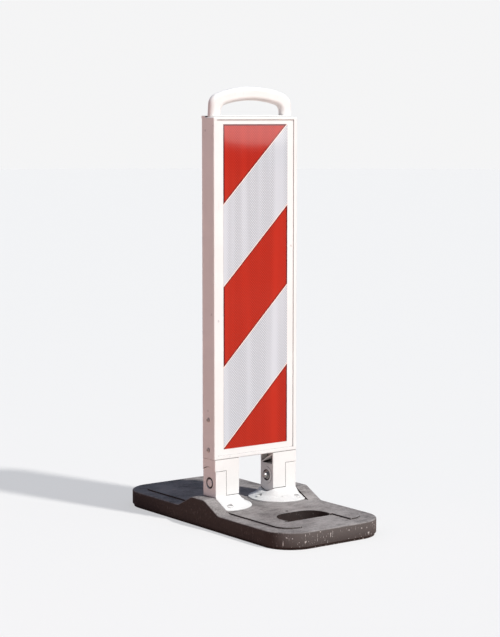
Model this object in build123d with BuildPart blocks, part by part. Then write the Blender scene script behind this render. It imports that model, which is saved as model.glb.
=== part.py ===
"""Folding vertical traffic panel on a heavy base plate, in millimetres.

The origin is the centre of the base's underside. +X runs along the panel's width, +Z is up, and the
panel's main face looks towards -Y. The panel folds about one axis along X through both legs.
"""

import os
from math import cos, radians, sin, sqrt

from build123d import *

os.makedirs("parts", exist_ok=True)

# ---------------------------------------------------------------- driving dimensions, in millimetres
# Base plate
base_width = 404.0
base_length = 876.0
base_corner_r = 100.0
base_rim_height = 52.0
base_edge_r = 4.0
plinth_height = 6.0
plinth_inset = 5.0
plinth_chamfer = 3.0
plateau_rise = 4.5
plateau_border_end = 55.0
plateau_corner_r = 52.0
notch_width = 186.0
slot_width = 174.0
slot_depth = 85.0
slot_front_border = 142.0
slot_back_r = 60.0
slot_front_r = 8.0
drain_hole_r = 4.5
drain_hole_gap = 22.0
hump_rise = 37.0
hump_flat = 66.0
hump_run = 75.0
hump_toe_r = 28.0
hump_shoulder_r = 18.0
socket_size = 60.0

# Legs and feet, all mirrored about X = 0
leg_inner_x = 66.0
leg_split_x = 115.0
leg_outer_x = 156.0
leg_depth = 66.0
flange_r = 95.0
flange_seat_depth = 5.0
flange_proud = 5.0
flange_edge_r = 2.5
skirt_foot_r = 91.0
skirt_top_r = 69.0
skirt_rise = 11.5
pedestal_top_z = 93.0
pedestal_corner_r = 8.0
pedestal_flat = 0.2
tenon_length = 43.0
foot_screw_spread = 76.0
foot_screw_angles = (0.0, 105.0, 255.0)
spot_face_rise = 11.0

# Fold hinge
pivot_z = 132.0
knuckle_r = 50.0
hinge_gap = 1.2
hinge_bolt_r = 6.0
head_pocket_r = 18.5
head_pocket_depth = 18.0
across_flats = 18.0
head_height = 7.5
cap_r = 12.0
cap_wall = 1.2
cap_chamfer = 0.8
nut_recess_r = 18.0
nut_recess_depth = 5.0
nut_height = 11.0
nut_hex_height = 7.7
nut_crown_taper = 20.0
boss_r = 27.0
boss_height = 1.5
bush_r = 9.0
washer_r = 13.0
washer_thickness = 2.5
spring_height = 3.2
spring_thickness = 1.5
thread_end = 3.5
bolt_chamfer = 1.2
thrust_disc_r = 28.0

# Panel
panel_width = 320.0
panel_bottom_z = 207.0
panel_height = 1051.0
panel_thickness = 64.0
panel_wall = 4.0
panel_edge_r = 3.0
panel_corner_r = 3.0
face_recess = 2.5
frame_side = 13.0
frame_top = 7.5
frame_bottom = 12.0
rib_thickness = 3.0
rib_count = 4
rear_ledge_rise = 4.0
film_width = 246.0
film_height = 998.0
film_thickness = 0.5
film_bottom_border = 19.5
stripe_step = 250.0
stripe_start = 3.5
stripe_lap = 1.5

# Carry handle, moulded with the panel
handle_rise = 93.0
handle_crown_r = 410.0
handle_corner_r = 38.0
handle_side_taper = 4.0
handle_inset = 3.0
handle_thickness = 28.0
handle_edge_r = 13.0
handle_wall = 5.0
grip_height = 42.0
hand_hole_width = 230.0
hand_hole_sill = 6.0
hand_hole_corner_r = 22.0

# Hinge blocks inside the panel
block_side_inset = 1.5
block_edge_r = 2.0
tang_height = 150.0
tang_inner_x = 84.0
tang_wall = 6.0
side_screw_heights = (29.0, 123.0)
pocket_depth = 25.0
pocket_rim = 5.0
pocket_boss_gap = 11.0
pocket_rib = 4.0

# Small screws and inserts
screw_r = 3.0
screw_head_r = 5.5
screw_head_height = 3.2
screw_head_chamfer = 1.0
screw_socket_depth = 1.6
screw_washer_r = 7.5
screw_washer_thickness = 1.2
screw_cap_wall = 1.3
screw_cap_height = 6.0
side_screw_length = 30.0
foot_screw_length = 34.0
insert_r = 4.6
insert_length = 18.0

# Clearances
fit_gap = 0.5
run_gap = 1.5
shaft_gap = 0.05
thread_gap = 0.05
thrust_gap = 0.1

# ---------------------------------------------------------------- places that follow from the sizes
plateau_z = base_rim_height + plateau_rise
plateau_half_x = leg_outer_x + fit_gap
plateau_length = base_length - 2 * plateau_border_end
slot_front_y = -base_length / 2 + slot_front_border
slot_back_y = slot_front_y + slot_depth
seat_z = plateau_z - flange_seat_depth
flange_top_z = plateau_z + flange_proud
skirt_top_z = flange_top_z + skirt_rise
spot_face_z = seat_z + spot_face_rise
foot_centre_x = (leg_inner_x + leg_outer_x) / 2
ear_inner_x = leg_split_x + hinge_gap
hex_r = across_flats / sqrt(3)
screw_cap_r = screw_washer_r + fit_gap + screw_cap_wall
half_depth = leg_depth / 2
half_panel = panel_thickness / 2
panel_top_z = panel_bottom_z + panel_height
film_y = half_panel - face_recess
cavity_depth = film_y - panel_wall
block_outer_x = panel_width / 2 - block_side_inset
tang_outer_x = panel_width / 2 - panel_wall - fit_gap
nut_floor_x = leg_inner_x + nut_recess_depth
head_floor_x = leg_outer_x - head_pocket_depth
side_screw_zs = [panel_bottom_z + height for height in side_screw_heights]


def write(piece, name):
    """Labels a finished sub-part and writes its STEP file."""
    piece.part.label = name
    export_step(piece.part, f"parts/{name}.step")


def arc_height(radius, offset):
    """Height of a circle's arc above its centre, at a sideways offset."""
    return sqrt(radius**2 - offset**2)


def on_base_outline(edge):
    """True where an edge's middle lies on the base's outer wall."""
    point = edge @ 0.5
    beyond_x = max(abs(point.X) - (base_width / 2 - base_corner_r), 0)
    beyond_y = max(abs(point.Y) - (base_length / 2 - base_corner_r), 0)
    return abs(sqrt(beyond_x**2 + beyond_y**2) - base_corner_r) < 0.01


def foot_screw_places():
    """X and Y of the right foot's flange screws, the first one pointing to the other foot."""
    return [
        (
            foot_centre_x - foot_screw_spread * cos(radians(angle)),
            foot_screw_spread * sin(radians(angle)),
        )
        for angle in foot_screw_angles
    ]


# ---------------------------------------------------------------- base plate
with BuildPart() as base_plate:
    with BuildSketch(Plane.XY.offset(plinth_height)):
        RectangleRounded(base_width, base_length, base_corner_r)
    extrude(amount=base_rim_height - plinth_height)
    chamfer(base_plate.faces().sort_by(Axis.Z)[0].edges(), plinth_chamfer)

    # A hump along each side, beside the foot, carries the load into the plate.
    toe_y = hump_flat / 2 + hump_run
    hump_end_y = toe_y + hump_toe_r
    hump_top_z = base_rim_height + hump_rise
    with BuildSketch(Plane.YZ.offset(plateau_half_x)) as hump_profile:
        with BuildLine():
            Polyline(
                (-hump_end_y, plinth_height + plinth_chamfer),
                (-hump_end_y, base_rim_height),
                (-toe_y, base_rim_height),
                (-hump_flat / 2, hump_top_z),
                (hump_flat / 2, hump_top_z),
                (toe_y, base_rim_height),
                (hump_end_y, base_rim_height),
                (hump_end_y, plinth_height + plinth_chamfer),
                close=True,
            )
        make_face()
        # Inside a sketch, its own X and Y stand for the object's Y and Z.
        fillet(hump_profile.vertices().group_by(Axis.Y)[-1], hump_shoulder_r)
        toes = hump_profile.vertices().filter_by(lambda v: abs(abs(v.X) - toe_y) < 0.01)
        fillet(toes, hump_toe_r)
    extrude(amount=base_width / 2 - plateau_half_x)
    mirror(about=Plane.YZ)
    rim_edges = base_plate.edges().filter_by(
        lambda edge: (edge @ 0.5).Z > base_rim_height - 0.01 and on_base_outline(edge)
    )
    fillet(rim_edges, base_edge_r)

    with BuildSketch(Plane.XY):
        RectangleRounded(
            base_width - 2 * plinth_inset,
            base_length - 2 * plinth_inset,
            base_corner_r - plinth_inset,
        )
    extrude(amount=plinth_height)

    # The raised plateau is open towards the front, where the hand slot lies.
    with BuildSketch(Plane.XY.offset(base_rim_height)):
        RectangleRounded(2 * plateau_half_x, plateau_length, plateau_corner_r)
        with Locations((0, slot_front_y)):
            Rectangle(
                notch_width,
                slot_front_border,
                align=(Align.CENTER, Align.MAX),
                mode=Mode.SUBTRACT,
            )
    extrude(amount=plateau_rise)

    with BuildSketch(Plane.XY.offset(plateau_z)) as slot_profile:
        with Locations((0, (slot_front_y + slot_back_y) / 2)):
            Rectangle(slot_width, slot_depth)
        fillet(slot_profile.vertices().group_by(Axis.Y)[-1], slot_back_r)
        fillet(slot_profile.vertices().group_by(Axis.Y)[0], slot_front_r)
    extrude(amount=-plateau_z, mode=Mode.SUBTRACT)

    with BuildSketch(Plane.XY.offset(plateau_z)):
        with Locations((0, slot_back_y + drain_hole_gap)):
            Circle(drain_hole_r)
    extrude(amount=-plateau_z, mode=Mode.SUBTRACT)

    # Seats, sockets and insert holes for the two feet
    with BuildSketch(Plane.XY.offset(seat_z)):
        with Locations((foot_centre_x, 0), (-foot_centre_x, 0)):
            Circle(flange_r + fit_gap)
        Rectangle(2 * plateau_half_x, base_length, mode=Mode.INTERSECT)
    extrude(amount=hump_rise, mode=Mode.SUBTRACT)
    with BuildSketch(Plane.XY.offset(seat_z)):
        with Locations((foot_centre_x, 0), (-foot_centre_x, 0)):
            Rectangle(socket_size, socket_size)
    extrude(amount=-seat_z, mode=Mode.SUBTRACT)
    with BuildSketch(Plane.XY.offset(seat_z)):
        for x, y in foot_screw_places():
            with Locations((x, y), (-x, y)):
                Circle(insert_r)
    extrude(amount=-foot_screw_length, mode=Mode.SUBTRACT)

write(base_plate, "base_plate")

# ---------------------------------------------------------------- feet
with BuildPart() as foot_right:
    with BuildSketch(Plane.XY.offset(seat_z)):
        with Locations((foot_centre_x, 0)):
            Circle(flange_r)
    extrude(amount=flange_top_z - seat_z)
    fillet(foot_right.edges().sort_by(Axis.Z)[-1], flange_edge_r)
    with Locations((foot_centre_x, 0, flange_top_z)):
        Cone(skirt_foot_r, skirt_top_r, skirt_rise, align=(Align.CENTER, Align.CENTER, Align.MIN))
    with BuildSketch(Plane.XY.offset(skirt_top_z)):
        with Locations((foot_centre_x, 0)):
            # A rounded square that is almost a circle has as many sides as the top of the loft.
            RectangleRounded(2 * skirt_top_r, 2 * skirt_top_r, skirt_top_r - pedestal_flat)
    with BuildSketch(Plane.XY.offset(pedestal_top_z)):
        with Locations((foot_centre_x, 0)):
            RectangleRounded(leg_outer_x - leg_inner_x, leg_depth, pedestal_corner_r)
    loft()
    split(bisect_by=Plane.YZ.offset(leg_outer_x), keep=Keep.BOTTOM)

    # The ear on the outer half of the leg, with its top round about the pivot
    ear_edge_z = pivot_z + arc_height(knuckle_r, half_depth)
    with BuildSketch(Plane.YZ.offset(ear_inner_x)):
        with BuildLine():
            Polyline(
                (-half_depth, ear_edge_z),
                (-half_depth, seat_z),
                (half_depth, seat_z),
                (half_depth, ear_edge_z),
            )
            ThreePointArc(
                (half_depth, ear_edge_z), (0, pivot_z + knuckle_r), (-half_depth, ear_edge_z)
            )
        make_face()
    extrude(amount=leg_outer_x - ear_inner_x)

    # The cradle under the knuckle
    with BuildSketch(Plane.YZ.offset(ear_inner_x)):
        with Locations((0, pivot_z)):
            Circle(knuckle_r + run_gap)
    extrude(amount=-ear_inner_x, mode=Mode.SUBTRACT)

    # Bolt hole, with a pocket for the bolt's head and cap
    with BuildSketch(Plane.YZ.offset(leg_outer_x)):
        with Locations((0, pivot_z)):
            Circle(head_pocket_r)
    extrude(amount=-head_pocket_depth, mode=Mode.SUBTRACT)
    with BuildSketch(Plane.YZ.offset(leg_outer_x)):
        with Locations((0, pivot_z)):
            Circle(hinge_bolt_r + fit_gap)
    extrude(amount=-(leg_outer_x - leg_inner_x), mode=Mode.SUBTRACT)

    # Square tenon in the base's socket
    with BuildSketch(Plane.XY.offset(seat_z)):
        with Locations((foot_centre_x, 0)):
            Rectangle(socket_size - 2 * fit_gap, socket_size - 2 * fit_gap)
    extrude(amount=-tenon_length)

    with BuildSketch(Plane.XY.offset(spot_face_z)):
        with Locations(*foot_screw_places()):
            Circle(screw_cap_r + fit_gap)
    extrude(amount=pedestal_top_z - spot_face_z, mode=Mode.SUBTRACT)
    with BuildSketch(Plane.XY.offset(seat_z)):
        with Locations(*foot_screw_places()):
            Circle(screw_r + fit_gap)
    extrude(amount=spot_face_z - seat_z, mode=Mode.SUBTRACT)

write(foot_right, "foot_right")

with BuildPart() as foot_left:
    mirror(foot_right.part, about=Plane.YZ)

write(foot_left, "foot_left")

# ---------------------------------------------------------------- foot fixings
with BuildPart() as foot_screw_washers:
    with BuildSketch(Plane.XY.offset(spot_face_z)):
        with Locations(*foot_screw_places()):
            Circle(screw_washer_r)
            Circle(screw_r + thread_gap, mode=Mode.SUBTRACT)
    extrude(amount=screw_washer_thickness)
    mirror(about=Plane.YZ)

write(foot_screw_washers, "foot_screw_washers")

foot_head_z = spot_face_z + screw_washer_thickness
with BuildPart() as foot_screws:
    with BuildSketch(Plane.XY.offset(foot_head_z)):
        with Locations(*foot_screw_places()):
            Circle(screw_head_r)
    extrude(amount=screw_head_height)
    chamfer(foot_screws.faces().group_by(Axis.Z)[-1].edges(), screw_head_chamfer)
    with BuildSketch(Plane.XY.offset(foot_head_z)):
        with Locations(*foot_screw_places()):
            Circle(screw_r)
    extrude(amount=-foot_screw_length)
    with BuildSketch(Plane.XY.offset(foot_head_z + screw_head_height)):
        with Locations(*foot_screw_places()):
            RegularPolygon(screw_r, 6)
    extrude(amount=-screw_socket_depth, mode=Mode.SUBTRACT)
    mirror(about=Plane.YZ)

write(foot_screws, "foot_screws")

# Each cap stands in its spot face, around the washer and over the screw's head.
with BuildPart() as foot_screw_caps:
    with BuildSketch(Plane.XY.offset(spot_face_z)):
        with Locations(*foot_screw_places()):
            Circle(screw_cap_r)
    extrude(amount=screw_cap_height)
    chamfer(foot_screw_caps.faces().group_by(Axis.Z)[-1].edges(), cap_chamfer)
    with BuildSketch(Plane.XY.offset(spot_face_z)):
        with Locations(*foot_screw_places()):
            Circle(screw_cap_r - screw_cap_wall)
    extrude(amount=screw_washer_thickness + screw_head_height + fit_gap, mode=Mode.SUBTRACT)
    mirror(about=Plane.YZ)

write(foot_screw_caps, "foot_screw_caps")

with BuildPart() as foot_inserts:
    with BuildSketch(Plane.XY.offset(seat_z)):
        with Locations(*foot_screw_places()):
            Circle(insert_r)
            Circle(screw_r + thread_gap, mode=Mode.SUBTRACT)
    extrude(amount=-insert_length)
    mirror(about=Plane.YZ)

write(foot_inserts, "foot_inserts")

# ---------------------------------------------------------------- hinge blocks
with BuildPart() as hinge_block_right:
    # The block under the panel clears the ear's round top.
    clear_edge_z = pivot_z + arc_height(knuckle_r + run_gap, half_depth)
    with BuildSketch(Plane.YZ.offset(leg_inner_x)):
        with BuildLine():
            Polyline(
                (-half_depth, clear_edge_z),
                (-half_depth, panel_bottom_z),
                (half_depth, panel_bottom_z),
                (half_depth, clear_edge_z),
            )
            ThreePointArc(
                (half_depth, clear_edge_z),
                (0, pivot_z + knuckle_r + run_gap),
                (-half_depth, clear_edge_z),
            )
        make_face()
    extrude(amount=block_outer_x - leg_inner_x)
    outer_corners = hinge_block_right.edges().filter_by(Axis.Z).group_by(Axis.X)[-1]
    fillet(outer_corners, block_edge_r)

    # The knuckle on the inner half of the leg, with its bottom round about the pivot
    knuckle_edge_z = pivot_z - arc_height(knuckle_r, half_depth)
    with BuildSketch(Plane.YZ.offset(leg_inner_x)):
        with BuildLine():
            Polyline(
                (-half_depth, knuckle_edge_z),
                (-half_depth, panel_bottom_z),
                (half_depth, panel_bottom_z),
                (half_depth, knuckle_edge_z),
            )
            ThreePointArc(
                (half_depth, knuckle_edge_z),
                (0, pivot_z - knuckle_r),
                (-half_depth, knuckle_edge_z),
            )
        make_face()
    extrude(amount=leg_split_x - leg_inner_x)
    inner_corners = hinge_block_right.edges().filter_by(Axis.Z).group_by(Axis.X)[0]
    fillet(inner_corners, block_edge_r)

    # Round boss, nut recess and bush bore
    with BuildSketch(Plane.YZ.offset(leg_inner_x)):
        with Locations((0, pivot_z)):
            Circle(boss_r)
    extrude(amount=-boss_height)
    with BuildSketch(Plane.YZ.offset(leg_inner_x - boss_height)):
        with Locations((0, pivot_z)):
            Circle(nut_recess_r)
    extrude(amount=nut_recess_depth + boss_height, mode=Mode.SUBTRACT)
    with BuildSketch(Plane.YZ.offset(leg_inner_x)):
        with Locations((0, pivot_z)):
            Circle(bush_r)
    extrude(amount=leg_split_x - leg_inner_x, mode=Mode.SUBTRACT)

    # Two three-cornered pockets above the boss, parted by a rib that rises towards the front
    pocket_low_z = pivot_z + boss_r + pocket_boss_gap
    pocket_high_z = panel_bottom_z - pocket_rim
    pocket_half_y = half_depth - pocket_rim
    with BuildSketch(Plane.YZ.offset(leg_inner_x)):
        with BuildLine():
            Polyline(
                (-pocket_half_y, pocket_low_z),
                (pocket_half_y, pocket_low_z),
                (pocket_half_y, pocket_high_z),
                (-pocket_half_y, pocket_high_z),
                close=True,
            )
        make_face()
        with BuildLine():
            Polyline(
                (pocket_half_y + pocket_rib, pocket_low_z),
                (pocket_half_y - pocket_rib, pocket_low_z),
                (-pocket_half_y - pocket_rib, pocket_high_z),
                (-pocket_half_y + pocket_rib, pocket_high_z),
                close=True,
            )
        make_face(mode=Mode.SUBTRACT)
    extrude(amount=pocket_depth, mode=Mode.SUBTRACT)

    # Hollow tang that reaches up inside the panel
    tang_width = tang_outer_x - tang_inner_x
    tang_centre_x = (tang_outer_x + tang_inner_x) / 2
    tang_depth = 2 * (cavity_depth - fit_gap)
    with BuildSketch(Plane.XY.offset(panel_bottom_z)):
        with Locations((tang_centre_x, 0)):
            Rectangle(tang_width, tang_depth)
    extrude(amount=tang_height)
    hollow_inner_x = tang_inner_x + tang_wall
    hollow_outer_x = tang_outer_x - insert_length - tang_wall
    with BuildSketch(Plane.XY.offset(panel_bottom_z + tang_height)):
        with Locations(((hollow_inner_x + hollow_outer_x) / 2, 0)):
            Rectangle(hollow_outer_x - hollow_inner_x, tang_depth - 2 * tang_wall)
    extrude(amount=-(tang_height - tang_wall), mode=Mode.SUBTRACT)
    with BuildSketch(Plane.YZ.offset(tang_outer_x)):
        with Locations(*[(0, z) for z in side_screw_zs]):
            Circle(insert_r)
    extrude(amount=-side_screw_length, mode=Mode.SUBTRACT)

write(hinge_block_right, "hinge_block_right")

with BuildPart() as hinge_block_left:
    mirror(hinge_block_right.part, about=Plane.YZ)

write(hinge_block_left, "hinge_block_left")

# ---------------------------------------------------------------- hinge hardware
with BuildPart() as hinge_bushes:
    with BuildSketch(Plane.YZ.offset(nut_floor_x)):
        with Locations((0, pivot_z)):
            Circle(bush_r)
            Circle(hinge_bolt_r + shaft_gap, mode=Mode.SUBTRACT)
    extrude(amount=leg_split_x - nut_floor_x)
    mirror(about=Plane.YZ)

write(hinge_bushes, "hinge_bushes")

with BuildPart() as hinge_thrust_discs:
    with BuildSketch(Plane.YZ.offset(leg_split_x + thrust_gap)):
        with Locations((0, pivot_z)):
            Circle(thrust_disc_r)
            Circle(hinge_bolt_r + fit_gap, mode=Mode.SUBTRACT)
    extrude(amount=hinge_gap - thrust_gap)
    mirror(about=Plane.YZ)

write(hinge_thrust_discs, "hinge_thrust_discs")

with BuildPart() as hinge_head_washers:
    with BuildSketch(Plane.YZ.offset(head_floor_x)):
        with Locations((0, pivot_z)):
            Circle(washer_r)
            Circle(hinge_bolt_r + thread_gap, mode=Mode.SUBTRACT)
    extrude(amount=washer_thickness)
    mirror(about=Plane.YZ)

write(hinge_head_washers, "hinge_head_washers")

# The nut's stack stands on the knuckle's recess: disc spring, washer, nut.
spring_x = nut_floor_x - thrust_gap
nut_washer_x = spring_x - spring_height
nut_x = nut_washer_x - washer_thickness
bolt_end_x = nut_x - nut_height - thread_end
head_x = head_floor_x + washer_thickness

with BuildPart() as hinge_disc_springs:
    spring_inner_r = hinge_bolt_r + fit_gap
    spring_outer_r = washer_r - fit_gap
    spring_drop = spring_height - spring_thickness
    with BuildSketch(Plane.XZ):
        with BuildLine():
            Polyline(
                (spring_x, pivot_z + spring_outer_r),
                (spring_x - spring_thickness, pivot_z + spring_outer_r),
                (spring_x - spring_height, pivot_z + spring_inner_r),
                (spring_x - spring_drop, pivot_z + spring_inner_r),
                close=True,
            )
        make_face()
    revolve(axis=Axis((0, 0, pivot_z), (1, 0, 0)))
    mirror(about=Plane.YZ)

write(hinge_disc_springs, "hinge_disc_springs")

with BuildPart() as hinge_nut_washers:
    with BuildSketch(Plane.YZ.offset(nut_washer_x)):
        with Locations((0, pivot_z)):
            Circle(washer_r)
            Circle(hinge_bolt_r + thread_gap, mode=Mode.SUBTRACT)
    extrude(amount=-washer_thickness)
    mirror(about=Plane.YZ)

write(hinge_nut_washers, "hinge_nut_washers")

with BuildPart() as hinge_nuts:
    with BuildSketch(Plane.YZ.offset(nut_x)):
        with Locations((0, pivot_z)):
            RegularPolygon(hex_r, 6)
    extrude(amount=-nut_hex_height)
    with BuildSketch(Plane.YZ.offset(nut_x - nut_hex_height)):
        with Locations((0, pivot_z)):
            Circle(across_flats / 2)
    extrude(amount=-(nut_height - nut_hex_height), taper=nut_crown_taper)
    with BuildSketch(Plane.YZ.offset(nut_x)):
        with Locations((0, pivot_z)):
            Circle(hinge_bolt_r + thread_gap)
    extrude(amount=-nut_height, mode=Mode.SUBTRACT)
    mirror(about=Plane.YZ)

write(hinge_nuts, "hinge_nuts")

with BuildPart() as hinge_bolts:
    with BuildSketch(Plane.YZ.offset(head_x)):
        with Locations((0, pivot_z)):
            RegularPolygon(hex_r, 6)
    extrude(amount=head_height)
    with BuildSketch(Plane.YZ.offset(head_x)):
        with Locations((0, pivot_z)):
            Circle(hinge_bolt_r)
    extrude(amount=-(head_x - bolt_end_x))
    chamfer(hinge_bolts.faces().sort_by(Axis.X)[0].edges(), bolt_chamfer)
    mirror(about=Plane.YZ)

write(hinge_bolts, "hinge_bolts")

with BuildPart() as hinge_caps:
    cap_length = leg_outer_x - head_x
    with BuildSketch(Plane.YZ.offset(head_x)):
        with Locations((0, pivot_z)):
            Circle(cap_r)
    extrude(amount=cap_length)
    chamfer(hinge_caps.faces().sort_by(Axis.X)[-1].edges(), cap_chamfer)
    with BuildSketch(Plane.YZ.offset(head_x)):
        with Locations((0, pivot_z)):
            Circle(cap_r - cap_wall)
    extrude(amount=head_height + fit_gap, mode=Mode.SUBTRACT)
    mirror(about=Plane.YZ)

write(hinge_caps, "hinge_caps")

# ---------------------------------------------------------------- panel shells
handle_top_z = panel_top_z + handle_rise
crown_centre_z = handle_top_z - handle_crown_r
handle_half_x = panel_width / 2 - handle_inset
handle_corner_x = handle_half_x - handle_side_taper
grip_r = handle_crown_r - grip_height
hole_half_x = hand_hole_width / 2
hole_top_x = hole_half_x - handle_side_taper / 2


def handle_outline():
    """Half-round arch of the handle, from inside the panel's top up to its crown."""
    with BuildSketch(Plane.XZ) as outline:
        with BuildLine():
            corner_z = crown_centre_z + arc_height(handle_crown_r, handle_corner_x)
            low_z = panel_top_z - panel_wall
            Polyline(
                (-handle_corner_x, corner_z),
                (-handle_half_x, low_z),
                (handle_half_x, low_z),
                (handle_corner_x, corner_z),
            )
            ThreePointArc(
                (handle_corner_x, corner_z), (0, handle_top_z), (-handle_corner_x, corner_z)
            )
        make_face()
        fillet(outline.vertices().group_by(Axis.Y)[-1], handle_corner_r)
    return outline.sketch


def hand_hole_outline():
    """Opening under the grip, from its sill above the panel's top."""
    with BuildSketch(Plane.XZ) as outline:
        with BuildLine():
            corner_z = crown_centre_z + arc_height(grip_r, hole_top_x)
            sill_z = panel_top_z + hand_hole_sill
            Polyline(
                (-hole_top_x, corner_z),
                (-hole_half_x, sill_z),
                (hole_half_x, sill_z),
                (hole_top_x, corner_z),
            )
            ThreePointArc(
                (hole_top_x, corner_z), (0, crown_centre_z + grip_r), (-hole_top_x, corner_z)
            )
        make_face()
        fillet(outline.vertices().group_by(Axis.Y)[-1], hand_hole_corner_r)
    return outline.sketch


with BuildPart() as handle_front:
    with BuildSketch(Plane.XZ):
        add(handle_outline())
        add(hand_hole_outline(), mode=Mode.SUBTRACT)
    extrude(amount=handle_thickness / 2)
    handle_front_edges = (
        handle_front.faces().sort_by(Axis.Y)[0].edges().filter_by(Axis.X, reverse=True)
    )
    fillet(handle_front_edges, handle_edge_r)

with BuildPart() as panel_front_shell:
    with BuildSketch(Plane.XZ):
        with Locations((0, panel_bottom_z + panel_height / 2)):
            RectangleRounded(panel_width, panel_height, panel_corner_r)
    extrude(amount=half_panel)
    fillet(panel_front_shell.faces().sort_by(Axis.Y)[0].edges(), panel_edge_r)
    add(handle_front.part)

    # Sunk face for the film, and the hollow behind it
    recess_width = panel_width - 2 * frame_side
    recess_height = panel_height - frame_top - frame_bottom
    recess_centre_z = panel_bottom_z + frame_bottom + recess_height / 2
    with BuildSketch(Plane.XZ.offset(half_panel)):
        with Locations((0, recess_centre_z)):
            Rectangle(recess_width, recess_height)
    extrude(amount=-face_recess, mode=Mode.SUBTRACT)
    with BuildSketch(Plane.XZ):
        with Locations((0, panel_bottom_z + panel_height / 2)):
            Rectangle(panel_width - 2 * panel_wall, panel_height - 2 * panel_wall)
    extrude(amount=cavity_depth, mode=Mode.SUBTRACT)
    with BuildSketch(Plane.XZ):
        add(offset(handle_outline(), amount=-handle_wall, mode=Mode.PRIVATE))
        add(offset(hand_hole_outline(), amount=handle_wall, mode=Mode.PRIVATE), mode=Mode.SUBTRACT)
        with Locations((0, panel_top_z)):
            Rectangle(
                panel_width,
                panel_wall * 2,
                align=(Align.CENTER, Align.CENTER),
                mode=Mode.SUBTRACT,
            )
    extrude(amount=handle_thickness / 2 - handle_wall, mode=Mode.SUBTRACT)

    # Cross ribs above the tangs
    rib_low_z = panel_bottom_z + tang_height
    rib_step = (panel_top_z - rib_low_z) / (rib_count + 1)
    with BuildSketch(Plane.XZ):
        for index in range(rib_count):
            with Locations((0, rib_low_z + rib_step * (index + 1))):
                Rectangle(panel_width - 2 * panel_wall, rib_thickness)
    extrude(amount=cavity_depth)

    # Tang openings and side screw holes
    with BuildSketch(Plane.XY.offset(panel_bottom_z)):
        with Locations((tang_centre_x, 0), (-tang_centre_x, 0)):
            Rectangle(tang_width + 2 * fit_gap, tang_depth + 2 * fit_gap)
    extrude(amount=panel_wall, mode=Mode.SUBTRACT)
    with BuildSketch(Plane.YZ.offset(-panel_width / 2)):
        with Locations(*[(0, z) for z in side_screw_zs]):
            Circle(screw_r + fit_gap)
    extrude(amount=panel_width, mode=Mode.SUBTRACT)

write(panel_front_shell, "panel_front_shell")

# The rear shell is the front one's mirror image, with a low ledge along its top.
with BuildPart() as panel_rear_shell:
    mirror(panel_front_shell.part, about=Plane.XZ)
    with BuildSketch(Plane.XY.offset(panel_top_z - panel_wall)):
        with Locations((0, handle_thickness / 2)):
            Rectangle(panel_width, half_panel - handle_thickness / 2, align=(Align.CENTER, Align.MIN))
    extrude(amount=panel_wall + rear_ledge_rise)

write(panel_rear_shell, "panel_rear_shell")

# ---------------------------------------------------------------- striped film
film_low_z = panel_bottom_z + frame_bottom + film_bottom_border


def stripes(first, lap):
    """Every second slanting band of the film's face, grown at both edges by a lap."""
    half = film_width / 2
    with BuildSketch(Plane.XZ.offset(film_y)) as bands:
        for index in range(first, int(film_height / stripe_step) + 1, 2):
            start_z = film_low_z + stripe_start + index * stripe_step - lap
            end_z = start_z + stripe_step + 2 * lap
            with BuildLine():
                Polyline(
                    (-half, start_z),
                    (half, start_z + film_width),
                    (half, end_z + film_width),
                    (-half, end_z),
                    close=True,
                )
            make_face()
        with Locations((0, film_low_z + film_height / 2)):
            Rectangle(film_width, film_height, mode=Mode.INTERSECT)
    return bands.sketch


for colour, first_band, lap in (("red", -1, -stripe_lap), ("white", 0, stripe_lap)):
    with BuildPart() as front_film:
        extrude(stripes(first_band, lap), amount=film_thickness)
    write(front_film, f"front_{colour}_film")

    with BuildPart() as rear_film:
        add(front_film.part.rotate(Axis.Z, 180))
    write(rear_film, f"rear_{colour}_film")

# ---------------------------------------------------------------- side screws of the hinge blocks
with BuildPart() as side_screw_washers:
    with BuildSketch(Plane.YZ.offset(panel_width / 2)):
        with Locations(*[(0, z) for z in side_screw_zs]):
            Circle(screw_washer_r)
            Circle(screw_r + thread_gap, mode=Mode.SUBTRACT)
    extrude(amount=screw_washer_thickness)
    mirror(about=Plane.YZ)

write(side_screw_washers, "side_screw_washers")

side_head_x = panel_width / 2 + screw_washer_thickness
with BuildPart() as side_screws:
    with BuildSketch(Plane.YZ.offset(side_head_x)):
        with Locations(*[(0, z) for z in side_screw_zs]):
            Circle(screw_head_r)
    extrude(amount=screw_head_height)
    chamfer(side_screws.faces().group_by(Axis.X)[-1].edges(), screw_head_chamfer)
    with BuildSketch(Plane.YZ.offset(side_head_x)):
        with Locations(*[(0, z) for z in side_screw_zs]):
            Circle(screw_r)
    extrude(amount=-side_screw_length)
    with BuildSketch(Plane.YZ.offset(side_head_x + screw_head_height)):
        with Locations(*[(0, z) for z in side_screw_zs]):
            RegularPolygon(screw_r, 6)
    extrude(amount=-screw_socket_depth, mode=Mode.SUBTRACT)
    mirror(about=Plane.YZ)

write(side_screws, "side_screws")

with BuildPart() as side_screw_inserts:
    with BuildSketch(Plane.YZ.offset(tang_outer_x)):
        with Locations(*[(0, z) for z in side_screw_zs]):
            Circle(insert_r)
            Circle(screw_r + thread_gap, mode=Mode.SUBTRACT)
    extrude(amount=-insert_length)
    mirror(about=Plane.YZ)

write(side_screw_inserts, "side_screw_inserts")
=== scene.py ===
import math

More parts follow.
